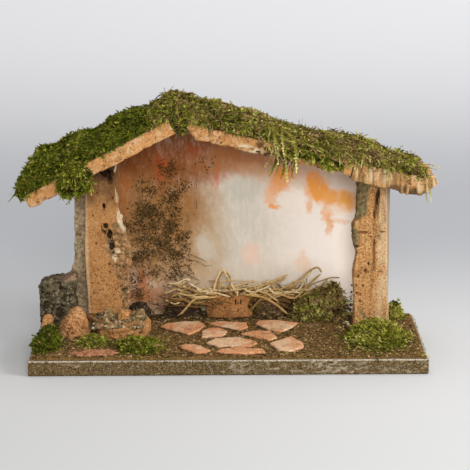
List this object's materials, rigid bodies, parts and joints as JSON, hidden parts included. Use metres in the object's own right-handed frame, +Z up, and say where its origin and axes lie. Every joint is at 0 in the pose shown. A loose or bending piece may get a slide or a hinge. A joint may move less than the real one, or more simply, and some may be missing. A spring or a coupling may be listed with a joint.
{
  "type": "nativity stable",
  "caption": "Open-fronted cork stable on a board, with a painted back wall, mossy pitched roof, flagstone path and straw, to hold crib figures.",
  "frame": {"origin": "on the board's underside, half way along it and 60 mm behind its front edge", "axes": "+X along the open front to the viewer's right, +Y from the open front to the painted wall, +Z up"},
  "size_m": [0.3436, 0.1245, 0.2122],
  "materials": {
    "board": "matt, dry-brushed grey",
    "litter": "loose brown and olive flock",
    "painted_wall": "matt washes of cream and orange",
    "cork": "sawn and pitted",
    "bark": "rough and ridged",
    "red_cork": "sawn, salmon stained",
    "moss": "feathery",
    "dark_moss": "feathery",
    "straw": "dry and fibrous"
  },
  "bodies": {
    "root": {"base_board": "board", "ground_litter": "litter", "back_wall": "painted_wall", "left_post_slab": "cork", "left_post": "cork", "right_post": "cork", "rear_left_upright": "bark", "roof_left_panel": "cork", "roof_right_panel": "cork", "roof_right_eave": "bark", "moss_left_slope": "dark_moss", "moss_left_hang": "moss", "moss_right_upper": "moss", "moss_right_lower": "moss", "moss_right_fringe": "moss", "moss_ridge": "moss", "flagstone_1": "red_cork", "flagstone_2": "red_cork", "flagstone_3": "red_cork", "flagstone_4": "red_cork", "flagstone_5": "red_cork", "flagstone_6": "red_cork", "flagstone_7": "red_cork", "flagstone_8": "red_cork", "flagstone_9": "red_cork", "front_sliver": "cork", "bark_rock": "bark", "cork_stone": "cork", "edge_stone": "red_cork", "dark_lump": "litter", "root_heap": "litter", "rubble_1": "bark", "rubble_2": "bark", "rubble_3": "bark", "rubble_4": "bark", "manger_block": "cork", "manger_bark": "bark", "straw_bed": "straw", "long_stalk": "straw", "straw_loop": "straw", "moss_left_front": "moss", "moss_left_middle": "moss", "moss_left_path": "moss", "moss_right_front": "moss", "moss_inside_right": "moss", "moss_behind_right_post": "moss"}
  },
  "joints": []
}
